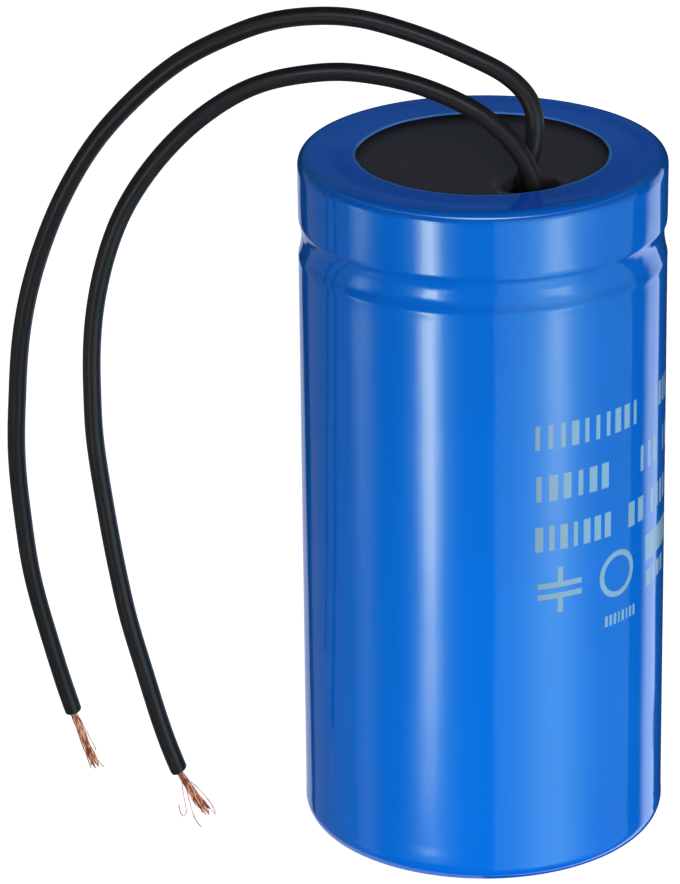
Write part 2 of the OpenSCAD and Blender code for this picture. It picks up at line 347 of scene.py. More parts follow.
def print_blocks(nodes, turn, height):
    """Rows of plain blocks in words"""
    ink = 0.0
    for row, (low, high, words) in enumerate(PRINT_ROWS):
        pitch = BLOCK_PITCH * (high - low) / PITCH_ROW
        for first, last in words:
            cells = max(round((last - first) / pitch), 1)
            step = (last - first) / cells
            cell = (turn - first) / step
            number = nodes.math("FLOOR", cell)
            chance = nodes.add(
                "ShaderNodeTexWhiteNoise",
                {"noise_dimensions": "1D"},
                {"W": number * 1.37 + (row + first)},
            )
            chance = Value(nodes, chance.outputs["Value"])
            narrow = chance.smooth(NARROW_FROM, NARROW_FROM + 0.01)
            width = BLOCK_WIDTH - narrow * BLOCK_NARROWER
            aside = nodes.math("ABSOLUTE", cell - number - BLOCK_MIDDLE) - width / 2
            block = (1 - aside.smooth(-0.03, 0.03)) * turn.between(first, last, 0.05)
            block = block * height.between(low, high, PRINT_EDGE)
            ink = nodes.math("MAXIMUM", ink, block)
    return ink


def patch(turn, height, first, last, low, high):
    """Plain patch of print between two turns in degrees and two heights"""
    return turn.between(first, last, 0.1) * height.between(low, high, PRINT_EDGE)


def print_shapes(nodes, turn, height):
    """A circuit sign of two plates, a field of colour, a ring and a bar of blocks"""
    ink = 0.0
    for edges in PRINT_PATCHES:
        ink = nodes.math("MAXIMUM", ink, patch(turn, height, *edges))
    around = (turn - RING_TURN) / DEGREES * (FILM_R / MM)
    above = height - RING_HEIGHT
    radius = nodes.math("SQRT", around * around + above * above)
    ink = nodes.math("MAXIMUM", ink, radius.between(RING_INNER, RING_OUTER, PRINT_EDGE))
    cell = (turn - BAR[0]) / BAR_PITCH
    blocks = (cell - nodes.math("FLOOR", cell)).between(0.0, BAR_WIDTH, 0.03)
    return nodes.math("MAXIMUM", ink, patch(turn, height, *BAR) * blocks)


def film_material(film):
    """Glossy shrink film with pale print on it, and painted shade and a painted highlight in its
    blue. Heights and radii are in millimetres.
    """
    material, nodes = new_material("film_blue")
    place = nodes.place()
    x, y, z = nodes.split(place)
    turn = nodes.math("ARCTAN2", x, -y) * DEGREES
    height = z / MM
    ink = nodes.math(
        "MAXIMUM", print_blocks(nodes, turn, height), print_shapes(nodes, turn, height)
    )
    wear = nodes.noise(place, 1400.0, 3.0, 0.6).smooth(0.28, 0.42)
    ink = ink * (0.76 + wear * 0.14)

    # Painted shade: the film's blue darkens towards the top of the can, where less light falls, with
    # a little random mottle from the cloud noise
    cloud = nodes.noise(place, 60.0, 2.0)
    high = height.smooth(15.0, 95.0) * 0.85 + cloud.smooth(0.3, 0.7) * 0.15
    blue = nodes.blend(high, rgba(film.colour), rgba(film.painted_top_shade))
    radius = nodes.math("SQRT", x * x + y * y) / MM
    # The flat top over the rim takes the lap colour, a less green copy of the film's blue: painted
    # shade where less light falls on the top face
    flat = height.smooth(96.8, 97.2) * (1 - radius.smooth(23.6, 24.5))
    # Painted shade: 40 % of the dark edge colour over the film's rounded top edge, where it turns
    # over the rim
    rim = height.smooth(96.6, 97.6) * 0.4
    blue = nodes.blend(rim, blue, rgba(film.edge))
    blue = nodes.blend(flat, blue, rgba(film.lap))
    # Painted shade: darker bands of the edge colour along the lower and upper flank of the bead's
    # groove
    painted_groove_shade = height.bell(85.0, 0.55) * 0.2 + height.bell(89.0, 0.55) * 0.12
    blue = nodes.blend(painted_groove_shade, blue, rgba(film.edge))
    # Painted highlight: a pale line round the film's mouth, at its cut edge
    painted_lip_highlight = 1 - radius.smooth(17.45, 17.65)
    blue = nodes.blend(painted_lip_highlight, blue, rgba(film.painted_lip_highlight))
    side = turn.smooth(16.0, 44.0)
    pale = nodes.blend(side, rgba(film.print_left), rgba(film.print_right))
    colour = nodes.blend(ink, blue, pale)

    streaks = nodes.noise(nodes.place((1.0, 1.0, 0.012)), 900.0, 2.0, 0.55)
    broad = nodes.noise(nodes.place((1.0, 1.0, 0.05)), 210.0, 1.0)
    peel = nodes.noise(place, 700.0, 1.0)
    head = height.smooth(82.0, 86.0)
    waves = nodes.noise(nodes.place((1.0, 1.0, 0.55)), 130.0, 1.0)
    relief = waves * 5.0 + streaks * 0.85 + broad * 0.9 + peel * (0.1 + head * 0.25)
    matt = nodes.noise(place, 500.0, 3.0)
    surface(nodes, {
        "Base Color": colour,
        "Roughness": film.roughness + matt * 0.03 + ink * 0.22,
        "IOR": 1.5,
        "Specular Tint": rgba(film.shine),
        "Normal": nodes.bump(relief, film.relief),
    })
    return material


def cover_material(cover):
    """Black moulded plate with a fine grain, pale specks, and a painted highlight in speckled pale
    rings round its hole's collar
    """
    material, nodes = new_material("cover_black")
    place = nodes.place()
    grain = nodes.noise(place, 2600.0, 3.0, 0.65)
    specks = nodes.noise(place, 5200.0, 1.0).smooth(0.68, 0.76)
    scuffs = nodes.noise(nodes.place((1.0, 0.22, 1.0)), 900.0, 3.0, 0.7).smooth(0.56, 0.8)
    x, y, _ = nodes.split(place)
    aside = x - HOLE_PLACE.x
    ahead = y - HOLE_PLACE.y
    from_hole = nodes.math("SQRT", aside * aside + ahead * ahead) / MM
    collar = COLLAR_R / MM
    # Painted highlight: speckled pale rings on the collar round the hole, where its raised rim
    # catches the light
    rings = from_hole.bell(collar - 0.1, 0.16) + from_hole.bell(collar + 0.35, 0.1) * 0.5
    worn = nodes.noise(place, 3400.0, 2.0, 0.7).smooth(0.5, 0.62) * rings
    black = nodes.blend(grain, rgba(cover.colour), rgba(cover.grain_colour))
    dusty = nodes.blend(specks * 0.35 + scuffs * 0.15, black, rgba(cover.speck_colour))
    surface(nodes, {
        "Base Color": nodes.blend(worn, dusty, rgba(cover.painted_collar_highlight_colour)),
        "Roughness": 0.44 + grain * 0.2,
        "IOR": 1.42,
        "Specular Tint": rgba(cover.shine),
        "Normal": nodes.bump(grain + specks * 0.6, 0.02 * MM, 0.8),
    })
    return material


def insulation_material(leads):
    """Soft black insulation with a dull shine"""
    material, nodes = new_material("insulation_black")
    place = nodes.place()
    skin = nodes.noise(place, 1500.0, 3.0, 0.6)
    dust = nodes.noise(place, 420.0, 4.0, 0.65).smooth(0.5, 0.8)
    surface(nodes, {
        "Base Color": nodes.blend(dust * 0.5, rgba(leads.colour), rgba(leads.dust_colour)),
        "Roughness": 0.34 + skin * 0.12 + dust * 0.08,
        "IOR": 1.35,
        "Specular Tint": rgba(leads.shine),
        "Normal": nodes.bump(skin, 0.012 * MM, 0.8),
    })
    return material


def copper_material(bare):
    """Bare copper strand, bright where it was scraped and browner elsewhere"""
    material, nodes = new_material("copper_strand")
    tarnish = nodes.noise(nodes.place((1.0, 1.0, 0.22)), 2100.0, 1.0).smooth(0.44, 0.6)
    fine = nodes.noise(nodes.place(), 6000.0, 1.0)
    surface(nodes, {
        "Base Color": nodes.blend(tarnish, rgba(bare.colour), rgba(bare.tarnish_colour)),
        "Metallic": 0.35 + fine * 0.15,
        "Roughness": 0.2 + tarnish * 0.16,
        "Normal": nodes.bump(fine, 0.004 * MM, 0.6),
    })
    return material


def turned_metal(name, colour, worn, scale, roughness):
    """Metal with fine rings of tooling and duller patches"""
    material, nodes = new_material(name)
    place = nodes.place()
    x, y, z = nodes.split(place)
    radius = nodes.math("SQRT", x * x + y * y)
    rings = nodes.noise(nodes.join(radius, z, 0.0), scale, 2.0, 0.6)
    patches = nodes.noise(place, 260.0, 3.0, 0.6).smooth(0.35, 0.75)
    surface(nodes, {
        "Base Color": nodes.blend(patches, rgba(colour), rgba(worn)),
        "Metallic": 1.0,
        "Roughness": roughness + rings * 0.12 + patches * 0.1,
        "Normal": nodes.bump(rings, 0.008 * MM, 0.7),
    })
    return material


def grainy(name, dark, light, scale, roughness, fibre):
    """Non-metal with a grain, such as rubber or laminate"""
    material, nodes = new_material(name)
    grain = nodes.noise(nodes.place((1.0, fibre, 1.0)), scale, 4.0, 0.65)
    blotch = nodes.noise(nodes.place(), 180.0, 2.0)
    surface(nodes, {
        "Base Color": nodes.blend(grain * 0.7 + blotch * 0.3, rgba(dark), rgba(light)),
        "Roughness": roughness + grain * 0.18,
        "Normal": nodes.bump(grain, 0.02 * MM, 0.6),
    })
    return material


# Finishes of what stands in the can's mouth: name, dark and light colour, grain per
# metre, roughness, stretch of the grain along Y, and the piece
GRAINS = (
    ("seal_black_rubber", (0.012, 0.012, 0.012), (0.035, 0.035, 0.036), 1800.0, 0.6, 1.0,
     "seal_rubber"),
    ("board_laminate", (0.11, 0.045, 0.015), (0.24, 0.11, 0.04), 1100.0, 0.38, 0.2,
     "terminal_board"),
    ("vent_red_rubber", (0.2, 0.02, 0.012), (0.32, 0.04, 0.022), 1600.0, 0.5, 1.0,
     "vent_plug"),
)
# Metals: name, clean and worn colour, rings per metre, roughness, and the two pieces
METALS = (
    ("rivet_aluminium", (0.8, 0.81, 0.82), (0.6, 0.61, 0.63), 3000.0, 0.3,
     "rivet_a", "rivet_b"),
    ("washer_zinc_steel", (0.62, 0.63, 0.66), (0.45, 0.46, 0.48), 2600.0, 0.34,
     "washer_a", "washer_b"),
    ("lug_tinned_brass", (0.72, 0.71, 0.66), (0.55, 0.47, 0.3), 2400.0, 0.3,
     "lug_a", "lug_b"),
    ("solder_bright", (0.74, 0.75, 0.77), (0.5, 0.51, 0.53), 1500.0, 0.22,
     "solder_a", "solder_b"),
    ("core_copper", (0.9, 0.45, 0.28), (0.6, 0.25, 0.12), 2800.0, 0.3,
     "core_a", "core_b"),
)
CAN_METAL = ("can_drawn_aluminium", (0.78, 0.79, 0.8), (0.62, 0.63, 0.65), 2200.0, 0.28)


# ---------------------------------------------------------------- making shapes

def new_tree(name, inputs):
    """Shape tree with a geometry input and output and named inputs for its sizes"""
    tree = bpy.data.node_groups.new(name, "GeometryNodeTree")
    tree.interface.new_socket("Geometry", in_out="INPUT", socket_type="NodeSocketGeometry")
    tree.interface.new_socket("Geometry", in_out="OUTPUT", socket_type="NodeSocketGeometry")
    for label, kind in inputs:
        tree.interface.new_socket(label, in_out="INPUT", socket_type="NodeSocket" + kind)
    nodes = Nodes(tree)
    sockets = nodes.add("NodeGroupInput").outputs
    return tree, nodes, {socket.name: Value(nodes, socket) for socket in sockets}


def close_tree(nodes, geometry, material):
    """Ends a shape tree in plain geometry with its finish"""
    plain = nodes.add("GeometryNodeRealizeInstances", sockets={0: geometry})
    painted = nodes.add(
        "GeometryNodeSetMaterial", sockets={"Geometry": plain.outputs[0], "Material": material}
    )
    nodes.add("NodeGroupOutput", sockets={0: painted.outputs[0]})


def grow(name, host_mesh, tree, values):
    """Runs a shape tree on a host mesh and keeps its result as a plain mesh object"""
    host = new_object(name + "_host", host_mesh)
    modifier = host.modifiers.new("shape", "NODES")
    modifier.node_group = tree
    for item in tree.interface.items_tree:
        if item.in_out == "INPUT" and item.name in values:
            modifier[item.identifier] = values[item.name]
    depsgraph = bpy.context.evaluated_depsgraph_get()
    mesh = bpy.data.meshes.new_from_object(host.evaluated_get(depsgraph))
    mesh.name = name
    host.modifiers.remove(modifier)
    bpy.data.objects.remove(host)
    mesh.shade_smooth()
    check_shell(name, mesh)
    return new_object(name, mesh)


def check_shell(name, mesh):
    """Raises an error if a mesh is open or inside out"""
    shell = bmesh.new()
    shell.from_mesh(mesh)
    closed = all(edge.is_manifold for edge in shell.edges)
    volume = shell.calc_volume(signed=True)
    shell.free()
    if not closed or volume <= 0:
        raise RuntimeError(f"{name}: closed {closed}, volume {volume}")


def host_edges(name, chains, closed=False):
    """Host mesh of chains of points joined by edges"""
    points = []
    edges = []
    for chain in chains:
        start = len(points)
        points.extend(chain)
        edges.extend((i, i + 1) for i in range(start, len(points) - 1))
        if closed:
            edges.append((len(points) - 1, start))
    mesh = bpy.data.meshes.new(name)
    mesh.from_pydata([tuple(point) for point in points], edges, [])
    return mesh


def attach(piece, slot, *nodes):
    """Ties a piece to the frame, in place of CAD nodes"""
    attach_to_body(piece, BODY)
    if nodes:
        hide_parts(*nodes)
    return piece


def refinish(material, *nodes):
    """Gives CAD nodes that stay a detailed material"""
    for node in nodes:
        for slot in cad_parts[node].material_slots:
            slot.material = material


# ---------------------------------------------------------------- sleeve

def arc(centre_r, centre_z, across, up, first, last, steps):
    """Points on an oval round a centre, by degrees from outward towards up"""
    points = []
    for i in range(steps + 1):
        turn = math.radians(first + (last - first) * i / steps)
        points.append((centre_r + across * math.cos(turn), centre_z + up * math.sin(turn)))
    return points


def bead_half_below(film):
    """Height of the groove's lower half that lets the film clear the can"""
    share = (1 - GROOVE_END_DIP / film.bead_dip) ** (1 / BEAD_POWER)
    return (BEAD_Z - GROOVE_END_Z) / share


def dip(z, film):
    """How far the film sinks into the bead's groove at a height"""
    half = BEAD_HALF_ABOVE if z > BEAD_Z else bead_half_below(film)
    step = 1 - (abs(z - BEAD_Z) / half) ** BEAD_POWER
    return film.bead_dip * (step + math.sqrt(step * step + film.bead_blend ** 2)) / 2


def skin(depth, spacing, film):
    """Film's surface from the mouth over the rim and down to the hole in the base"""
    corner = 0.04 * MM
    high_z = FILM_TOP - TOP_EDGE_UP
    low_z = BASE_EDGE_R
    top_r = FILM_R - TOP_EDGE_ACROSS
    base_r = FILM_R - BASE_EDGE_R
    lap = [MOUTH_R, MOUTH_R + corner]
    lap += [MOUTH_R + (top_r - MOUTH_R) * i / LAP_STEPS for i in range(1, LAP_STEPS)]
    points = [(r, FILM_TOP - depth) for r in lap]
    across = TOP_EDGE_ACROSS - depth
    points += arc(top_r, high_z, across, TOP_EDGE_UP - depth, 90, 0, RIM_STEPS)
    z = high_z - spacing
    while z > low_z + spacing / 2:
        near = abs(z - BEAD_Z) < BEAD_HALF_ABOVE * 1.8
        points.append((FILM_R - depth - dip(z, film), z))
        z -= spacing * (BEAD_SHARE if near else 1)
    across = BASE_EDGE_R - depth
    points += arc(base_r, low_z, across, across, 0, -90, EDGE_STEPS)
    base = [MOUTH_R + (base_r - MOUTH_R) * i / BASE_STEPS for i in range(1, BASE_STEPS)]
    points += [(r, depth) for r in reversed(base)]
    points += [(MOUTH_R + corner, depth), (MOUTH_R, depth)]
    return points


def sleeve_tree():
    """Turns the film's outline round the can, then ripples and sags it"""
    tree, nodes, given = new_tree("film_turned_round_can", (
        ("Reference Radius", "Float"), ("Segments", "Int"), ("Ripple", "Float"),
        ("Wrinkle", "Float"), ("Lip Sag", "Float"), ("Lip Wave", "Float"),
        ("Finish", "Material"),
    ))
    outline = nodes.add("GeometryNodeMeshToCurve", sockets={0: given["Geometry"]})
    circle = nodes.add("GeometryNodeCurvePrimitiveCircle", sockets={
        "Resolution": given["Segments"], "Radius": given["Reference Radius"],
    })
    upright = nodes.add("GeometryNodeSetCurveNormal", {"mode": "Z_UP"}, {0: circle.outputs[0]})
    turned = nodes.add("GeometryNodeCurveToMesh", sockets={
        "Curve": upright.outputs[0], "Profile Curve": outline.outputs[0],
    })
    place = nodes.add("GeometryNodeInputPosition").outputs[0]
    x, y, z = nodes.split(place)
    radius = nodes.math("SQRT", x * x + y * y)
    height = z / MM
    reach = radius / MM

    round_can = nodes.join(x / radius, y / radius, 0.0)
    broad = nodes.noise(nodes.join(x, y, z * 0.35), 70.0, 2.0)
    fine = nodes.noise(nodes.join(x, y, z * 0.8), 190.0, 2.0)
    wall = height.between(3.5, 96.8, 1.0)
    near_bead = height.bell(BEAD_Z / MM, 3.6)
    clear = 1 - height.bell(GROOVE_END_Z / MM + 0.1, 1.5)
    ripple = broad * given["Ripple"] * wall * clear
    wrinkle = fine.smooth(0.3, 0.75) * given["Wrinkle"] * near_bead * clear
    lap = height.smooth(97.0, 97.9)
    at_lip = lap * (1 - reach.smooth(MOUTH_R / MM, RIM_MOUTH_R / MM))
    swing = nodes.noise(round_can, 1.7, 1.0) - 0.5
    inward = ripple + wrinkle + at_lip * swing * given["Lip Wave"]
    buckle = nodes.noise(nodes.join(x, y, 0.0), 120.0, 1.0)
    sink = at_lip * given["Lip Sag"] * (0.8 + buckle * 0.4)
    flat = 1 - reach.smooth(23.0, 24.2)
    sink = sink + lap * buckle * given["Ripple"] * 0.5 * flat
    shift = nodes.scale(round_can, -inward)
    moved = nodes.vector("ADD", shift, nodes.join(0.0, 0.0, -sink))
    shaped = nodes.add("GeometryNodeSetPosition", sockets={
        "Geometry": turned.outputs[0], "Offset": moved,
    })
    close_tree(nodes, shaped.outputs[0], given["Finish"])
    return tree


def make_sleeve(film):
    """Shrink film round the can, from its outline outside and inside"""
    outline = skin(0.0, OUTER_SPACING, film)
    outline += reversed(skin(film.thickness, INNER_SPACING, film))
    chain = [(r - REFERENCE_R, -z, 0.0) for r, z in outline]
    host = host_edges("film_outline", [chain], closed=True)
    sleeve = grow("sleeve_film", host, sleeve_tree(), {
        "Reference Radius": REFERENCE_R,
        "Segments": film.segments,
        "Ripple": film.ripple,
        "Wrinkle": film.wrinkle,
        "Lip Sag": film.lip_sag,
        "Lip Wave": film.lip_wave,
        "Finish": film_material(film),
    })
    return attach(sleeve, "sleeve_film", "sleeve")


# ---------------------------------------------------------------- leads

def make_lead(name, route, tip, leads, material):
    """Insulated lead as a round curve, with its edge eased where it was cut"""
    curve = bpy.data.curves.new(name, "CURVE")
    curve.dimensions = "3D"
    curve.resolution_u = LEAD_STEPS
    curve.bevel_depth = leads.diameter / 2
    curve.bevel_resolution = LEAD_BEVEL
    curve.use_fill_caps = True
    last = metres(route[-1])
    along = (metres(tip) - last).normalized()
    places = [(metres(point), 1.0) for point in route]
    for back, size in CUT_EASE:
        places.insert(len(places) - 1, (last - along * back * MM, size))
    places[-1] = (last, CUT_SHARE)
    spline = curve.splines.new("NURBS")
    spline.points.add(len(places) - 1)
    for point, (place, size) in zip(spline.points, places):
        point.co = (*place, 1.0)
        point.radius = size
    spline.order_u = 4
    spline.use_endpoint_u = True
    curve.materials.append(material)
    return new_object(name, curve)


def bare_end_tree():
    """Twisted bundle of strands that opens towards its end, with loose strands beside it"""
    tree, nodes, given = new_tree("twisted_strands", (
        ("Strands", "Int"), ("Strand Radius", "Float"), ("Bundle Radius", "Float"),
        ("Length", "Float"), ("Twist", "Float"), ("Splay", "Float"), ("Uneven", "Float"),
        ("Start", "Vector"), ("Direction", "Vector"), ("Bow", "Vector"), ("Seed", "Int"),
        ("Loose Share", "Float"), ("Finish", "Material"),
    ))
    length = given["Length"]
    points = nodes.add("GeometryNodePoints", sockets={"Count": given["Strands"]})
    end = nodes.join(0.0, 0.0, length)
    line = nodes.add("GeometryNodeCurvePrimitiveLine", sockets={"End": end})
    fine_line = nodes.add("GeometryNodeResampleCurve", sockets={
        "Curve": line.outputs[0], "Count": STRAND_POINTS,
    })
    number = nodes.add("GeometryNodeInputIndex").outputs[0]
    numbered = nodes.add(
        "GeometryNodeStoreNamedAttribute",
        {"data_type": "FLOAT", "domain": "POINT"},
        {"Geometry": points.outputs[0], "Name": "strand", "Value": number},
    )
    copies = nodes.add("GeometryNodeInstanceOnPoints", sockets={
        "Points": numbered.outputs[0], "Instance": fine_line.outputs[0],
    })
    strands = nodes.add("GeometryNodeRealizeInstances", sockets={0: copies.outputs[0]})
    which = nodes.add(
        "GeometryNodeInputNamedAttribute", {"data_type": "FLOAT"}, {"Name": "strand"}
    )
    which = Value(nodes, which.outputs[0])
    place = nodes.add("GeometryNodeInputPosition").outputs[0]
    x, y, z = nodes.split(place)
    along = z / length

    def chance(low, high, offset):
        node = nodes.add("FunctionNodeRandomValue", {"data_type": "FLOAT"}, {
            2: low, 3: high, "ID": which, "Seed": given["Seed"] + offset,
        })
        return Value(nodes, node.outputs[1])

    spread = nodes.math("SQRT", (which + 0.5) / given["Strands"])
    near_end = 1 - along
    splay = (1 - near_end * near_end) * given["Splay"]
    opening = 0.95 + splay * chance(0.4, 1.4, 1)
    out = spread * given["Bundle Radius"] * opening
    angle = which * GOLDEN_TURN + along * given["Twist"] * chance(0.75, 1.25, 2)
    wander = nodes.noise(nodes.join(which * 0.7, along * 2.2, 0.0), 1.0, 1.0) - 0.5
    drift = nodes.noise(nodes.join(which * 0.7 + 31.0, along * 2.2, 0.0), 1.0, 1.0) - 0.5
    uneven = given["Uneven"] * along
    side_x = out * nodes.math("COSINE", angle) + wander * uneven
    side_y = out * nodes.math("SINE", angle) + drift * uneven
    reach = z * chance(0.86, 1.0, 3)
    bent = nodes.add("GeometryNodeSetPosition", sockets={
        "Geometry": strands.outputs[0], "Position": nodes.join(side_x, side_y, reach),
    })
    facing = nodes.add(
        "FunctionNodeAlignRotationToVector", {"axis": "Z"}, {"Vector": given["Direction"]}
    )
    laid = nodes.add("GeometryNodeTransform", sockets={
        "Geometry": bent.outputs[0], "Translation": given["Start"],
        "Rotation": facing.outputs[0],
    })
    bow = nodes.scale(given["Bow"], along * (1 - along) * 4.0)
    curved = nodes.add("GeometryNodeSetPosition", sockets={
        "Geometry": laid.outputs[0], "Offset": bow,
    })

    chains = nodes.add("GeometryNodeMeshToCurve", sockets={0: given["Geometry"]})
    smooth = nodes.add("GeometryNodeCurveSplineType", {"spline_type": "BEZIER"},
                       {"Curve": chains.outputs[0]})
    eased = nodes.add("GeometryNodeCurveSetHandles", {"handle_type": "AUTO"},
                      {"Curve": smooth.outputs[0]})
    dense = nodes.add("GeometryNodeResampleCurve", sockets={
        "Curve": eased.outputs[0], "Count": LOOSE_POINTS,
    })
    full = nodes.add("GeometryNodeSetCurveRadius", sockets={
        "Curve": curved.outputs[0], "Radius": 1.0,
    })
    thin = nodes.add("GeometryNodeSetCurveRadius", sockets={
        "Curve": dense.outputs[0], "Radius": given["Loose Share"],
    })
    both = nodes.add("GeometryNodeJoinGeometry")
    nodes.put(both.inputs[0], full.outputs[0])
    nodes.put(both.inputs[0], thin.outputs[0])

    here = nodes.add("GeometryNodeInputPosition").outputs[0]
    px, py, pz = nodes.split(here)
    floor = given["Strand Radius"] * 1.05
    lifted = nodes.add("GeometryNodeSetPosition", sockets={
        "Geometry": both.outputs[0],
        "Position": nodes.join(px, py, nodes.math("MAXIMUM", pz, floor)),
    })
    profile = nodes.add("GeometryNodeCurvePrimitiveCircle", sockets={
        "Resolution": STRAND_SIDES, "Radius": given["Strand Radius"],
    })
    wires = nodes.add("GeometryNodeCurveToMesh", sockets={
        "Curve": lifted.outputs[0], "Profile Curve": profile.outputs[0], "Fill Caps": True,
        "Scale": nodes.add("GeometryNodeInputRadius").outputs[0],
    })
    close_tree(nodes, wires.outputs[0], given["Finish"])
    return tree


def make_bare_end(name, route, tip, loose, bare, bow, tree, material):
    """Stripped end of a lead: its twisted strands, and the loose ones beside them"""
    start = metres(route[-1])
    run = metres(tip) - start
    sunk = start - run.normalized() * STRANDS_SUNK
    host = host_edges(name + "_loose", [[metres(point) for point in chain] for chain in loose])
    return grow(name, host, tree, {
        "Strands": bare.strands,
        "Strand Radius": bare.strand_diameter / 2,
        "Bundle Radius": bare.bundle_diameter / 2 - bare.strand_diameter / 2,
        "Length": run.length + STRANDS_SUNK,
        "Twist": bare.twist,
        "Splay": bare.splay,
        "Uneven": bare.uneven,
        "Start": sunk,
        "Direction": run.normalized(),
        "Bow": metres(bow),
        "Loose Share": bare.loose_share,
        "Seed": bare.seed,
        "Finish": material,
    })


# ---------------------------------------------------------------- stage

# Camera: place in metres, angles in degrees, lens in millimetres
CAMERA_PLACE = (0.0, -0.66867, 0.32837)
CAMERA_PITCH = 67.847
CAMERA_YAW = 1.698
CAMERA_ROLL = -0.712
CAMERA_LENS = 212.13
# Lamp at the front right: degrees round the can and over the horizon, and metres
KEY_TURN = 16.0
KEY_RISE = 12.0
KEY_DISTANCE = 1.5
KEY_SIZE = 0.6
# Tints of the soft boxes in front, and what shiny surfaces mirror between the boxes
WHITE = (1.0, 1.0, 1.5)
COOL = (0.56, 1.14, 1.5)
DARK = (0.01, 0.01, 0.01)
# Direction of the fill from the back left, as X and Y of a unit arrow
FILL_X = -0.423
FILL_Y = 0.906


def make_camera():
    """Camera in front of the can, above it and tilted down"""
    lens = bpy.data.cameras.new("camera")
    lens.lens = CAMERA_LENS
    lens.sensor_width = 36.0
    lens.clip_start = 0.01
    lens.clip_end = 20.0
    camera = new_object("camera", lens)
    camera.matrix_world = (
        Matrix.Translation(CAMERA_PLACE)
        @ Matrix.Rotation(math.radians(CAMERA_YAW), 4, "Z")
        @ Matrix.Rotation(math.radians(CAMERA_PITCH), 4, "X")
        @ Matrix.Rotation(math.radians(CAMERA_ROLL), 4, "Z")
    )
    bpy.context.scene.camera = camera


def make_key_lamp(stage):
    """Soft square lamp at the front right that faces the can"""
    lamp = bpy.data.lights.new("key_lamp", "AREA")
    lamp.shape = "SQUARE"
    lamp.size = KEY_SIZE
    lamp.energy = stage.key_power
    lamp.color = stage.key_colour
    aim = Vector((0.0, 0.0, FILM_TOP / 2))
    turn = math.radians(KEY_TURN)
    rise = math.radians(KEY_RISE)
    away = Vector((
        math.cos(rise) * math.sin(turn), -math.cos(rise) * math.cos(turn), math.sin(rise),
    ))
    holder = new_object("key_lamp", lamp)
    holder.location = aim + away * KEY_DISTANCE
    holder.rotation_euler = (-away).to_track_quat("-Z", "Y").to_euler()
    holder.visible_glossy = False
    holder.visible_camera = False


def make_floor(stage):
    """Pale floor that keeps the object's shadow and looks white around it"""
    half = stage.floor_size / 2
    mesh = bpy.data.meshes.new("floor")
    corners = [(-half, -half, 0), (half, -half, 0), (half, half, 0), (-half, half, 0)]
    mesh.from_pydata(corners, [], [(0, 1, 2, 3)])
    floor = new_object("floor", mesh)
    material, nodes = new_material("floor_pale")
    paper = nodes.add("ShaderNodeBsdfPrincipled", sockets={
        "Base Color": rgba(stage.floor_colour), "Roughness": 0.9,
    })
    glow = nodes.add("ShaderNodeEmission", sockets={
        "Color": rgba((1.0, 1.0, 1.0)), "Strength": stage.floor_glow,
    })
    lit = nodes.add("ShaderNodeAddShader", sockets={0: paper.outputs[0], 1: glow.outputs[0]})
    path = nodes.add("ShaderNodeLightPath").outputs
    seen = nodes.math("MAXIMUM", path["Is Camera Ray"], path["Is Glossy Ray"])
    seen = nodes.math("MAXIMUM", seen, path["Is Transmission Ray"])
    mixed = nodes.add("ShaderNodeMixShader", sockets={
        0: seen, 1: paper.outputs[0], 2: lit.outputs[0],
    })
    nodes.add("ShaderNodeOutputMaterial", sockets={"Surface": mixed.outputs[0]})
    mesh.materials.append(material)
    floor.visible_glossy = False


# Soft boxes, each as its level and its tint. The level is drawn over two angles in
# degrees: turn, round from the front towards +X, and rise, up from the horizon.

def left_boxes(nodes, turn, rise):
    """Strip light at the front left with its halo and foot, then paler bands to its left"""
    low = rise.smooth(-44.0, -34.0) * (1 - rise.smooth(-11.0, -4.0))
    streaks = nodes.noise(nodes.join(turn * 0.55, 0.0, 0.0), 1.0, 2.0, 0.6) * 0.6 + 0.7
    mottle = nodes.noise(nodes.join(turn * 0.2, rise * 0.9, 0.0), 1.0, 2.0, 0.6) * 0.9 + 0.6
    lit = rise.smooth(-27.2, -21.6)
    strip = turn.bell(-33.6, 6.0) * lit * 8.4
    halo = turn.bell(-32.0, 12.0) * lit * 2.3
    foot = rise.smooth(-31.0, -26.5) * (1 - rise.smooth(-26.5, -22.5))
    foot = foot * turn.bell(-33.0, 14.0) * 1.2
    spots = turn.bell(-38.0, 7.0) * (rise.bell(-25.2, 0.35) + rise.bell(-26.1, 0.3)) * 1.2
    band = turn.bell(-81.0, 9.0) * turn.smooth(-92.4, -90.8)
    band = band * (0.5 + rise.smooth(-25.0, -18.0) * 1.3) * low * streaks * mottle
    far = turn.between(-142.0, -92.0, 0.8) * (0.16 + turn.bell(-134.0, 8.0) * 0.06)
    far = far * (1 - rise.smooth(0.0, 14.0))
    return [
        ((strip + spots) * low * streaks, WHITE),
        ((halo + foot) * low, COOL),
        (band, (0.84, 1.12, 1.4)),
        (far, (0.9, 1.02, 1.5)),
    ]


def right_boxes(nodes, turn, rise):
    """Wide soft box at the front right with a bright middle, and a strip with a ragged foot"""
    tall = rise.smooth(-60.0, -38.0) * (1 - rise.smooth(-2.0, 16.0))
    box = 0.45 + turn.bell(30.0, 30.0) * 0.35 + turn.bell(46.6, 20.0) * 1.8
    box = box * turn.between(7.2, 107.0, 1.2) * tall
    peak = turn.bell(47.0, 8.5) * rise.smooth(-24.5, -21.0) * 2.8
    peak = peak * (1 - rise.smooth(-11.0, -4.0))
    ragged = nodes.noise(nodes.join(rise * 1.6, 0.0, 0.0), 1.0, 3.0, 0.6) - 0.5
    ragged = turn + ragged * (1 - rise.smooth(-25.6, -24.2)) * 34.0
    edge = turn.smooth(119.0, 130.0) * (1 - ragged.smooth(143.4, 145.0))
    edge = edge * (1.55 - rise.smooth(-25.0, -18.0) * 0.2) * (1 - rise.smooth(0.0, 14.0))
    return [(peak, WHITE), (box, COOL), (edge, (0.9, 1.08, 1.5))]


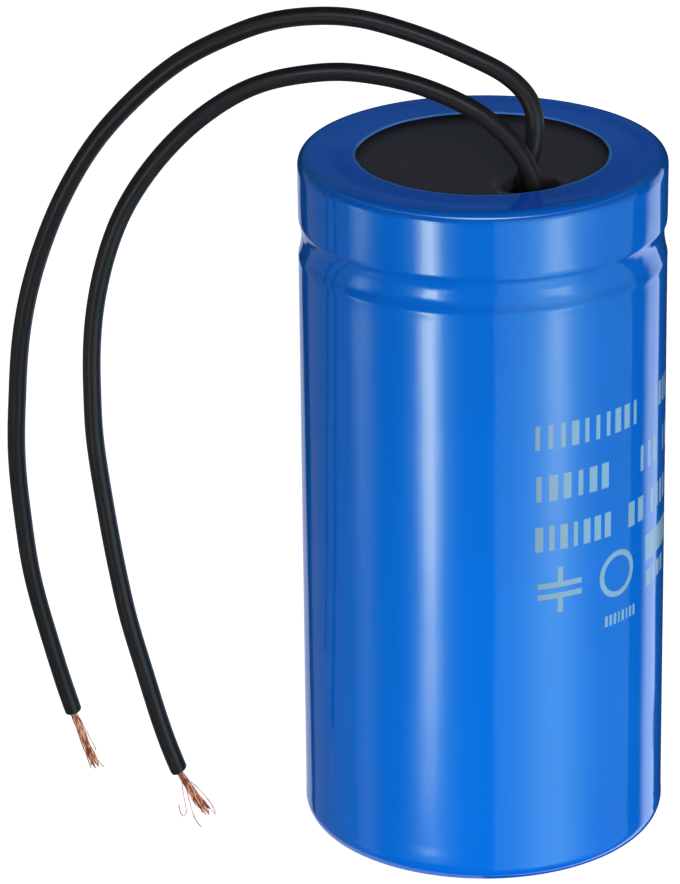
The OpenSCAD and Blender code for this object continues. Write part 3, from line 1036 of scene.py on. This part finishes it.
def high_boxes(turn, rise, x, y):
    """Panel behind the can, the light along its rim, and two that its flat top mirrors"""
    back = 1 - (turn + (rise + 26.0) * 1.33).smooth(-150.5, -147.5)
    back = back * (1 - rise.smooth(0.0, 14.0)) * 0.52
    rim = (turn.bell(0.0, 26.0) * 15.0 + turn.bell(0.0, 80.0) * 1.8) * rise.bell(32.0, 4.5)
    overhead = y.smooth(0.0, 0.3) * rise.smooth(8.0, 14.0) * (1 - rise.smooth(40.0, 55.0))
    behind = (rise - x * 20.0).smooth(18.0, 19.8) * overhead
    return [
        (back, (1.0, 1.1, 1.5)),
        (rim, (0.82, 1.0, 1.9)),
        (overhead * 0.07, (0.25, 0.9, 1.3)),
        (behind * 0.075, (0.5, 1.0, 1.3)),
    ]


def make_world(stage):
    """Even light for matt surfaces, soft boxes for shiny ones, white behind everything"""
    world = bpy.data.worlds.new("studio")
    world.use_nodes = True
    world.cycles.sampling_method = "NONE"
    world.node_tree.nodes.clear()
    nodes = Nodes(world.node_tree)
    x, y, z = nodes.split(nodes.add("ShaderNodeTexCoord").outputs["Generated"])
    turn = nodes.math("ARCTAN2", x, -y) * DEGREES
    rise = nodes.math("ARCSINE", z) * DEGREES

    fill = (x * FILL_X + y * FILL_Y).smooth(0.6, 1.0) * stage.back_fill
    even = stage.sky_low + rise.bell(0.0, 20.0) * (stage.sky_band + fill)

    boxes = left_boxes(nodes, turn, rise)
    boxes += right_boxes(nodes, turn, rise)
    boxes += high_boxes(turn, rise, x, y)
    shine = nodes.join(*DARK)
    for level, tint in boxes:
        shine = nodes.vector("ADD", shine, nodes.scale(nodes.join(*tint), level))

    path = nodes.add("ShaderNodeLightPath").outputs
    seen = nodes.math("MAXIMUM", path["Is Camera Ray"], path["Is Transmission Ray"])
    mirrored = Value(nodes, path["Is Glossy Ray"])
    level = nodes.blend(mirrored, nodes.join(even, even, even), shine)
    level = nodes.blend(seen, level, rgba((1.0, 1.0, 1.0)))
    sky = nodes.add("ShaderNodeBackground", sockets={"Color": level, "Strength": 1.0})
    nodes.add("ShaderNodeOutputWorld", sockets={"Surface": sky.outputs[0]})
    bpy.context.scene.world = world


# ---------------------------------------------------------------- settings

def length_setting(name, description, default, precision=5):
    return bpy.props.FloatProperty(
        name=name, description=description, default=default, unit="LENGTH", precision=precision)


def share_setting(name, description, default):
    return bpy.props.FloatProperty(
        name=name, description=description, default=default, subtype="FACTOR")


def colour_setting(name, description, default):
    return bpy.props.FloatVectorProperty(
        name=name, description=description, default=default, subtype="COLOR")


class FilmSettings(bpy.types.PropertyGroup):
    """Sizes and colours of the shrink film"""

    thickness: length_setting("Thickness", "Thickness of the film", FILM_T)
    bead_dip: length_setting("Bead dip", "How far the film sinks into the bead's groove", 0.4 * MM)
    bead_blend: share_setting("Bead blend", "How softly the film turns into the bead's groove", 0.1)
    segments: bpy.props.IntProperty(
        name="Segments", description="Number of faces round the can", default=320)
    ripple: length_setting("Ripple", "Depth of the film's broad ripples", 0.1 * MM)
    wrinkle: length_setting("Wrinkle", "Depth of the wrinkles beside the bead", 0.1 * MM)
    lip_sag: length_setting("Lip sag", "How far the film's mouth sinks inside the rim", 0.14 * MM)
    lip_wave: length_setting("Lip wave", "How uneven the film's mouth is", 0.7 * MM)
    roughness: share_setting("Roughness", "Roughness of the film", 0.05)
    relief: length_setting(
        "Relief", "Height of the finest streaks in the film", 0.006 * MM, precision=6)
    colour: colour_setting("Colour", "Colour of the film", (0.002, 0.183, 0.79))
    # Painted shade: the darker blue the film is drawn with towards the top of the can, where less
    # light falls
    painted_top_shade: colour_setting(
        "Shade", "Colour of the film near its top, where it is thicker", (0.002, 0.137, 0.62))
    # Painted shade: the film's blue for its flat top over the rim, drawn less green than the wall
    # because less light falls on the top face
    lap: colour_setting(
        "Lap", "Colour of the film where it is shrunk over the rim", (0.005, 0.116, 0.81))
    # Painted shade: this dark blue is drawn over the film's rounded top edge and along the flanks of
    # the bead's groove
    edge: colour_setting("Edge", "Colour of the film's cut edge", (0.001, 0.035, 0.26))
    # Painted highlight: the pale line drawn round the film's mouth
    painted_lip_highlight: colour_setting("Lip", "Colour of the thin line round the film's mouth", (0.06, 0.25, 0.8))
    shine: colour_setting("Shine", "Tint of what the film reflects", (1.0, 1.0, 0.41))
    print_left: colour_setting(
        "Print, left", "Colour of the print at its left end", linear(126, 150, 165))
    print_right: colour_setting(
        "Print, right", "Colour of the print at its right end", linear(140, 188, 214))


class LeadSettings(bpy.types.PropertyGroup):
    """Size and colours of the insulated leads"""

    diameter: length_setting("Diameter", "Outer diameter of a lead's insulation", 2.5 * MM)
    colour: colour_setting("Colour", "Colour of the insulation", (0.0105, 0.009, 0.0088))
    dust_colour: colour_setting(
        "Dust", "Colour of the insulation where it is dusty", (0.018, 0.0162, 0.016))
    shine: colour_setting("Shine", "Tint of what the insulation reflects", (1.0, 0.8, 0.56))


class BareEndSettings(bpy.types.PropertyGroup):
    """Sizes and colours of the stripped ends"""

    strands: bpy.props.IntProperty(
        name="Strands", description="Number of strands in a core", default=17)
    strand_diameter: length_setting("Strand diameter", "Diameter of one strand", 0.19 * MM)
    bundle_diameter: length_setting(
        "Bundle diameter", "Diameter of a core where it leaves its insulation", 1.0 * MM)
    twist: bpy.props.FloatProperty(
        name="Twist", description="Turn of the strands along a bare end",
        default=1.6, unit="ROTATION")
    splay: share_setting("Splay", "How much the strands open towards their ends", 0.6)
    uneven: length_setting("Uneven", "How far strands wander near their ends", 0.9 * MM)
    loose_share: share_setting(
        "Loose share", "Thickness of the loose strands beside the others", 0.75)
    seed: bpy.props.IntProperty(
        name="Seed", description="Seed of the strands' random differences", default=7)
    colour: colour_setting("Colour", "Colour of bright copper", (1.0, 0.44, 0.24))
    tarnish_colour: colour_setting(
        "Tarnish", "Colour of copper where it has gone brown", (0.26, 0.05, 0.014))


class CoverSettings(bpy.types.PropertyGroup):
    """Colours of the cover plate"""

    colour: colour_setting("Colour", "Colour of the plate", (0.037, 0.03, 0.031))
    grain_colour: colour_setting("Grain", "Colour of the plate's grain", (0.061, 0.051, 0.053))
    speck_colour: colour_setting(
        "Specks", "Colour of specks and scuffs on the plate", (0.09, 0.09, 0.095))
    # Painted highlight: the pale colour of the speckled rings on the collar round the hole
    painted_collar_highlight_colour: colour_setting(
        "Worn", "Colour of the worn collar round the hole", (0.26, 0.25, 0.24))
    shine: colour_setting("Shine", "Tint of what the plate reflects", (1.0, 0.76, 0.58))


class StageSettings(bpy.types.PropertyGroup):
    """Light and floor of the studio"""

    floor_size: bpy.props.FloatProperty(
        name="Floor size", description="Length of the floor's sides", default=6.0, unit="LENGTH")
    floor_colour: colour_setting("Floor colour", "Colour of the floor", (0.86, 0.86, 0.86))
    floor_glow: bpy.props.FloatProperty(
        name="Floor glow", description="Light that lifts the seen floor to white", default=0.86)
    sky_low: bpy.props.FloatProperty(
        name="Sky", description="Even light from everywhere", default=0.1)
    sky_band: bpy.props.FloatProperty(
        name="Sky band", description="Light from all round, near the horizon", default=0.72)
    back_fill: bpy.props.FloatProperty(
        name="Back fill", description="Even light from the back left, near the horizon", default=3.0)
    key_power: bpy.props.FloatProperty(
        name="Key lamp", description="Power of the lamp at the front right",
        default=15.6, unit="POWER")
    key_colour: colour_setting("Key colour", "Colour of the lamp at the front right", (1.0, 1.0, 1.0))


SETTINGS = (
    ("capacitor_film", FilmSettings),
    ("capacitor_leads", LeadSettings),
    ("capacitor_bare_ends", BareEndSettings),
    ("capacitor_cover", CoverSettings),
    ("capacitor_stage", StageSettings),
)


# ---------------------------------------------------------------- operators

class CAPACITOR_OT_stage(bpy.types.Operator):
    """Makes the camera, the lamp, the floor and the studio round them"""

    bl_idname = "capacitor.stage"
    bl_label = "Stage"

    def execute(self, context):
        stage = context.scene.capacitor_stage
        context.scene.view_settings.view_transform = "Standard"
        make_camera()
        make_key_lamp(stage)
        make_floor(stage)
        make_world(stage)
        return {"FINISHED"}


class CAPACITOR_OT_leads(bpy.types.Operator):
    """Makes the two insulated leads along their routes"""

    bl_idname = "capacitor.leads"
    bl_label = "Leads"

    def execute(self, context):
        leads = context.scene.capacitor_leads
        material = insulation_material(leads)
        for name, _, route, tip, *_ in LEADS:
            lead = make_lead(name + "_jacket", route, tip, leads, material)
            attach(lead, "lead_insulation", name)
        return {"FINISHED"}


class CAPACITOR_OT_bare_ends(bpy.types.Operator):
    bl_idname = "capacitor.bare_ends"
    bl_label = "Bare ends"

    def execute(self, context):
        bare = context.scene.capacitor_bare_ends
        material = copper_material(bare)
        tree = bare_end_tree()
        for name, strands, route, tip, loose, bow, length in LEADS:
            bare_end = make_bare_end(
                strands + "_copper", route, tip, loose, bare, bow, tree, material,
            )
            attach(bare_end, "copper", strands)
        return {"FINISHED"}


class CAPACITOR_OT_sleeve(bpy.types.Operator):
    """Makes the printed shrink film round the can"""

    bl_idname = "capacitor.sleeve"
    bl_label = "Sleeve"

    def execute(self, context):
        make_sleeve(context.scene.capacitor_film)
        return {"FINISHED"}


class CAPACITOR_OT_cover(bpy.types.Operator):
    """Finishes the cover plate"""

    bl_idname = "capacitor.cover"
    bl_label = "Cover plate"

    def execute(self, context):
        refinish(cover_material(context.scene.capacitor_cover), "cover_plate")
        return {"FINISHED"}


class CAPACITOR_OT_can(bpy.types.Operator):
    """Finishes the drawn aluminium can"""

    bl_idname = "capacitor.can"
    bl_label = "Can"

    def execute(self, context):
        refinish(turned_metal(*CAN_METAL), "can")
        return {"FINISHED"}


class CAPACITOR_OT_header(bpy.types.Operator):
    """Finishes the sealing disc, the terminal board and what stands on them"""

    bl_idname = "capacitor.header"
    bl_label = "Header"

    def execute(self, context):
        for *finish, piece in GRAINS:
            refinish(grainy(*finish), piece)
        for *finish, first, second in METALS:
            refinish(turned_metal(*finish), first, second)
        return {"FINISHED"}


OPERATORS = (
    CAPACITOR_OT_stage,
    CAPACITOR_OT_leads,
    CAPACITOR_OT_bare_ends,
    CAPACITOR_OT_sleeve,
    CAPACITOR_OT_cover,
    CAPACITOR_OT_can,
    CAPACITOR_OT_header,
)


class CAPACITOR_PT_pieces(bpy.types.Panel):
    """Lists the pieces of the capacitor and their settings"""

    bl_idname = "CAPACITOR_PT_pieces"
    bl_label = "Capacitor"
    bl_space_type = "VIEW_3D"
    bl_region_type = "UI"
    bl_category = "Capacitor"

    def draw(self, context):
        for operator in OPERATORS:
            self.layout.operator(operator.bl_idname)
        for name, group in SETTINGS:
            box = self.layout.box()
            for prop in group.__annotations__:
                box.prop(getattr(context.scene, name), prop)


def register():
    for name, group in SETTINGS:
        bpy.utils.register_class(group)
        setattr(bpy.types.Scene, name, bpy.props.PointerProperty(type=group))
    for operator in OPERATORS:
        bpy.utils.register_class(operator)
    bpy.utils.register_class(CAPACITOR_PT_pieces)


def unregister():
    bpy.utils.unregister_class(CAPACITOR_PT_pieces)
    for operator in reversed(OPERATORS):
        bpy.utils.unregister_class(operator)
    for name, group in reversed(SETTINGS):
        delattr(bpy.types.Scene, name)
        bpy.utils.unregister_class(group)


def plain(bounds):
    return [[float(value) for value in corner] for corner in bounds]


def main():
    register()
    bpy.ops.capacitor.stage()
    bpy.ops.capacitor.leads()
    bpy.ops.capacitor.bare_ends()
    bpy.ops.capacitor.sleeve()
    bpy.ops.capacitor.cover()
    bpy.ops.capacitor.can()
    bpy.ops.capacitor.header()
    bpy.context.view_layer.update()


if __name__ == "__main__":
    main()
